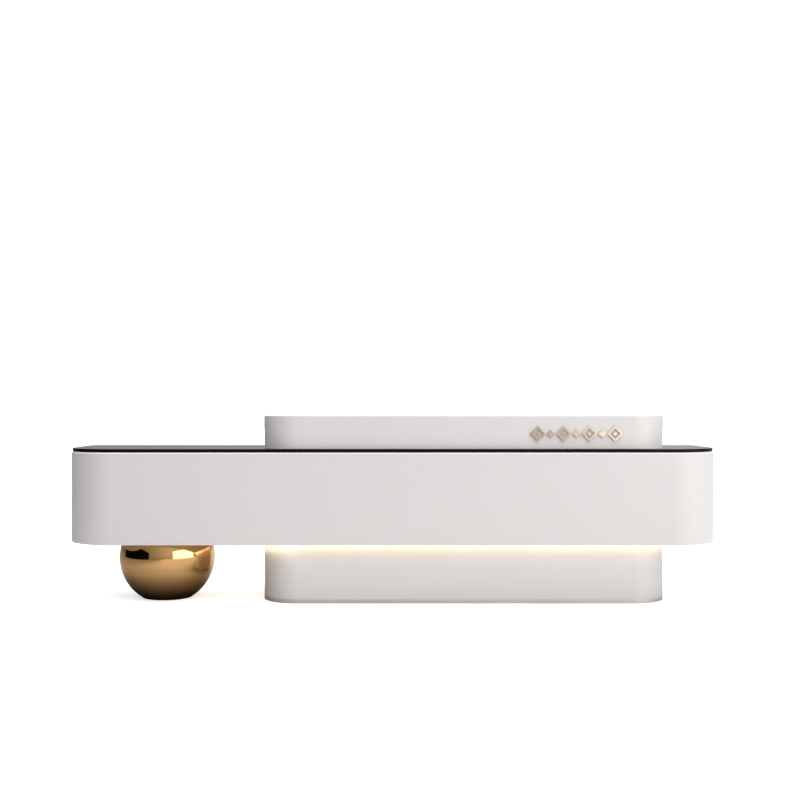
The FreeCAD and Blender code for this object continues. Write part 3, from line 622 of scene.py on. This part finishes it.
# Brightness of the room by height (0 is straight down, 1 straight up) and from left to
# right, as (position, brightness). The first and the last position come first.
ROOM_BY_HEIGHT = [(0.0, 0.33), (1.0, 3.2), (0.5, 0.33), (0.58, 0.45), (0.76, 0.48), (0.83, 1.40)]
ROOM_ACROSS = [(0.0, 0.25), (1.0, 0.86), (0.30, 0.57), (0.62, 0.98), (0.80, 0.93)]
ROOM_STRENGTH = 1.30
WHITE_GROUND = 1.05


def make_world():
    """White ground for the camera; a dim room with a bright ceiling for the light."""
    world = bpy.data.worlds.new("studio")
    bpy.context.scene.world = world
    world.use_nodes = True
    tree = world.node_tree
    tree.nodes.clear()
    coordinates = add(tree, "ShaderNodeTexCoord")
    parts = add(tree, "ShaderNodeSeparateXYZ")
    tree.links.new(coordinates.outputs["Generated"], parts.inputs["Vector"])
    across = half(tree, parts.outputs["X"])
    height = half(tree, parts.outputs["Z"])
    light = multiply(tree, ramp(tree, height, ROOM_BY_HEIGHT), ramp(tree, across, ROOM_ACROSS))
    lit = add(tree, "ShaderNodeBackground", Strength=ROOM_STRENGTH)
    tree.links.new(light, lit.inputs["Color"])
    white = add(tree, "ShaderNodeBackground", Color=(1, 1, 1, 1), Strength=WHITE_GROUND)
    ray = add(tree, "ShaderNodeLightPath")
    mix = add(tree, "ShaderNodeMixShader")
    tree.links.new(ray.outputs["Is Camera Ray"], mix.inputs["Fac"])
    tree.links.new(lit.outputs["Background"], mix.inputs[1])
    tree.links.new(white.outputs["Background"], mix.inputs[2])
    out = add(tree, "ShaderNodeOutputWorld")
    tree.links.new(mix.outputs["Shader"], out.inputs["Surface"])


def soft_box(name, place, target, width, height, watts):
    """Wide soft light aimed at a point, unseen by the camera."""
    light = bpy.data.lights.new(name, "AREA")
    light.shape = "RECTANGLE"
    light.size = width
    light.size_y = height
    light.energy = watts
    item = bpy.data.objects.new(name, light)
    bpy.context.scene.collection.objects.link(item)
    item.location = place
    aim = Vector(target) - Vector(place)
    item.rotation_mode = "QUATERNION"
    item.rotation_quaternion = aim.to_track_quat("-Z", "Y")
    item.visible_camera = False
    return item


def chalk(name, grey, emission):
    """Matt pale finish of the floor, a little cloudy."""
    material, tree, shader = new_material(name)
    clouds = noise(tree, place_coordinates(tree), 2.0)
    colour = tint(tree, clouds, *shades((grey, grey, grey), 0.02))
    tree.links.new(colour, shader.inputs["Base Color"])
    shader.inputs["Roughness"].default_value = 0.9
    shader.inputs["Specular IOR Level"].default_value = 0.0
    shader.inputs["Emission Color"].default_value = (1, 1, 1, 1)
    shader.inputs["Emission Strength"].default_value = emission
    return material, tree, shader, colour


FLOOR_RADIUS = 45


def make_seen_floor():
    """Floor that the camera sees: white, and darkened by shadows only."""
    bm = bmesh.new()
    bmesh.ops.create_circle(bm, cap_ends=True, segments=96, radius=FLOOR_RADIUS)
    mesh = bpy.data.meshes.new("floor")
    bm.to_mesh(mesh)
    bm.free()
    floor = bpy.data.objects.new("floor", mesh)
    floor.location.z = cad_box[0].z - 0.0002
    bpy.context.scene.collection.objects.link(floor)
    material, *_ = chalk("pale_floor", grey=0.81, emission=0.62)
    mesh.materials.append(material)
    floor.visible_diffuse = False
    floor.visible_glossy = False
    floor.visible_transmission = False
    floor.visible_shadow = False
    return floor


def step_between(value, stops):
    """Value on a line through (position, tone) stops."""
    for (start, low), (end, high) in zip(stops, stops[1:]):
        if value <= end:
            part = max(0.0, (value - start) / (end - start))
            return low + (high - low) * part
    return stops[-1][1]


# Painted shade of the bounce floor: painted shadow by distance from the ball's axis and from the
# plinth, and painted dimming by x.
PAINTED_SHADOW_BY_BALL = [(0.16, 0.06), (0.19, 0.16), (0.28, 0.42), (0.43, 0.85), (0.8, 1.0)]
PAINTED_SHADOW_BY_PLINTH = [(0.0, 0.4), (0.12, 0.75), (0.4, 1.0)]
PAINTED_DIMMING_ACROSS = [(-4.0, 0.30), (-2.4, 0.45), (-1.0, 1.0)]


def painted_floor_shade(x, y, ball, low, high):
    """Painted shade of the bounce floor: painted shadow deep by the ball and the plinth's foot,
    painted dimming on the left.
    """
    painted_ball_shadow = step_between(math.hypot(x - ball.x, y - ball.y), PAINTED_SHADOW_BY_BALL)
    out_x = max(low.x - x, x - high.x, 0)
    out_y = max(low.y - y, y - high.y, 0)
    painted_plinth_shadow = step_between(math.hypot(out_x, out_y), PAINTED_SHADOW_BY_PLINTH)
    return min(painted_ball_shadow, painted_plinth_shadow) * step_between(x, PAINTED_DIMMING_ACROSS)


def make_bounce_floor():
    """Floor that bounces light and shows in reflections, with painted shadow and painted dimming
    in its colour layer.
    """
    ball_low, ball_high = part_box("ball_shell")
    ball = (ball_low + ball_high) / 2
    low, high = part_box("plinth_shell")
    cells_per_metre, near_cells = 16, 56
    near = [step / cells_per_metre for step in range(-near_cells, near_cells + 1)]
    lines = [-FLOOR_RADIUS, -20, -10, -6, *near, 6, 10, 20, FLOOR_RADIUS]
    height = cad_box[0].z - 0.0004
    points = [(x, y, height) for y in lines for x in lines]
    wide = len(lines)
    faces = [(row + column, row + column + 1, row + column + wide + 1, row + column + wide)
             for row in range(0, wide * (wide - 1), wide) for column in range(wide - 1)]
    mesh = bpy.data.meshes.new("bounce_floor")
    mesh.from_pydata(points, [], faces)
    painted_shade_layer = mesh.color_attributes.new("painted_shade", "FLOAT_COLOR", "POINT")
    # The colour layer paints shade on the floor: painted shadow round the ball and at the
    # plinth's foot, and darker towards the left.
    for spot, (x, y, _) in zip(painted_shade_layer.data, points):
        painted_shade = painted_floor_shade(x, y, ball, low, high)
        spot.color = (painted_shade, painted_shade, painted_shade, 1)
    floor = bpy.data.objects.new("bounce_floor", mesh)
    bpy.context.scene.collection.objects.link(floor)
    material, tree, shader, colour = chalk("bounce_floor", grey=0.50, emission=0.0)
    # The painted shade from the layer darkens the floor's colour.
    layer = add(tree, "ShaderNodeAttribute", attribute_name="painted_shade")
    tree.links.new(multiply(tree, colour, layer.outputs["Color"]), shader.inputs["Base Color"])
    mesh.materials.append(material)
    floor.visible_camera = False
    floor.visible_transmission = False
    floor.visible_shadow = False
    return floor


def reflected_board(name, corners, brightness):
    """Board that only reflections see, bright like a window or black like a flag."""
    bm = bmesh.new()
    bm.faces.new([bm.verts.new(corner) for corner in corners])
    mesh = bpy.data.meshes.new(name)
    bm.to_mesh(mesh)
    bm.free()
    board = bpy.data.objects.new(name, mesh)
    bpy.context.scene.collection.objects.link(board)
    material, _, shader = new_material(name)
    shader.inputs["Base Color"].default_value = (0.004, 0.004, 0.004, 1)
    shader.inputs["Specular IOR Level"].default_value = 0.0
    shader.inputs["Emission Color"].default_value = (1.0, 0.97, 0.92, 1)
    shader.inputs["Emission Strength"].default_value = brightness
    mesh.materials.append(material)
    board.visible_camera = False
    board.visible_diffuse = False
    board.visible_transmission = False
    board.visible_shadow = False
    return board


def upright(start, end, low, high):
    """Corners of an upright board between two plan points and two heights."""
    return [(*start, low), (*end, low), (*end, high), (*start, high)]


# The strips run this far out from the plinth's face and down from its head.
WASH_OUT = 0.032
WASH_DOWN = 0.004
WASH_HALF_WIDTH = 0.002
WASH_COLOUR = (1.0, 0.75, 0.47)


def make_wash(name, path, strength):
    """Warm glowing strip, unseen itself, for the wash of light down the plinth."""
    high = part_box("plinth_shell")[1]
    bm = bmesh.new()
    edges = []
    for x, y, nx, ny in path:
        edges.append([bm.verts.new((x + nx * (WASH_OUT + out), y + ny * (WASH_OUT + out),
                                    high.z - WASH_DOWN - out))
                      for out in (-WASH_HALF_WIDTH, WASH_HALF_WIDTH)])
    for pair, following in zip(edges, edges[1:]):
        bm.faces.new((pair[0], pair[1], following[1], following[0]))
    mesh = bpy.data.meshes.new(name)
    bm.to_mesh(mesh)
    bm.free()
    wash = bpy.data.objects.new(name, mesh)
    bpy.context.scene.collection.objects.link(wash)
    mesh.materials.append(glow(name, colour=WASH_COLOUR, strength=strength, base=(0, 0, 0)))
    wash.visible_camera = False
    wash.visible_glossy = False
    wash.visible_transmission = False
    wash.visible_shadow = False
    return wash


def make_washes():
    """The wash along the straight runs, and a stronger one round the corners."""
    low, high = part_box("plinth_shell")
    path = wrap_path(low, high, RECESSED_CORNER)
    corners = path[1:-1]
    left, right = corners[:CORNER_STEPS + 1], corners[CORNER_STEPS + 1:]
    straight, left_corner, right_corner = 10.0, 21.0, 13.0
    return [make_wash("wash_front", [left[-1], right[0]], straight),
            make_wash("wash_left_side", path[:2], straight),
            make_wash("wash_right_side", path[-2:], straight),
            make_wash("wash_left_corner", left, left_corner),
            make_wash("wash_right_corner", right, right_corner)]


CAMERA_AHEAD = 5.996
CAMERA_HEIGHT = 1.077


def make_camera():
    """Straight front view with a 50 mm lens, level, six metres in front of the body."""
    data = bpy.data.cameras.new("camera")
    data.lens = 50
    data.sensor_width = 36
    data.shift_x = 0.0092
    data.shift_y = 0.0066
    data.clip_end = 200
    camera = bpy.data.objects.new("camera", data)
    bpy.context.scene.collection.objects.link(camera)
    low, high = cad_box
    camera.location = ((low.x + high.x) / 2, low.y - CAMERA_AHEAD, CAMERA_HEIGHT)
    camera.rotation_euler = (math.radians(90), 0, 0)
    bpy.context.scene.camera = camera


def make_lights():
    """Broad key light from the right, kept out of reflections, and a weak rear light."""
    key = soft_box("key_light", place=(6.8, -6.6, 2.4), target=(-1.2, -0.3, 0.3),
                   width=8.5, height=4.4, watts=140)
    key.visible_glossy = False
    soft_box("rear_light", place=(-3.5, 6.5, 3.6), target=(0, 0, 0.5),
             width=4.0, height=3.0, watts=45)


def make_boards():
    """Black flag left of the counter and bright window right of the camera."""
    flag = upright(start=(-5.0, -5.7), end=(-5.0, 1.1), low=0, high=1.7)
    window = upright(start=(2.8, -9.3), end=(8.4, -2.7), low=0.2, high=3.3)
    return [reflected_board("black_flag", flag, brightness=0),
            reflected_board("window", window, brightness=3.6)]


make_top()
make_lacquered_shells()
make_ball()
make_knobs()
make_grommet_ring()
make_ornament()
ease_cad_nodes()
make_world()
make_lights()
make_seen_floor()
make_bounce_floor()
make_boards()
make_washes()
make_camera()
bpy.context.scene.view_settings.view_transform = "Standard"
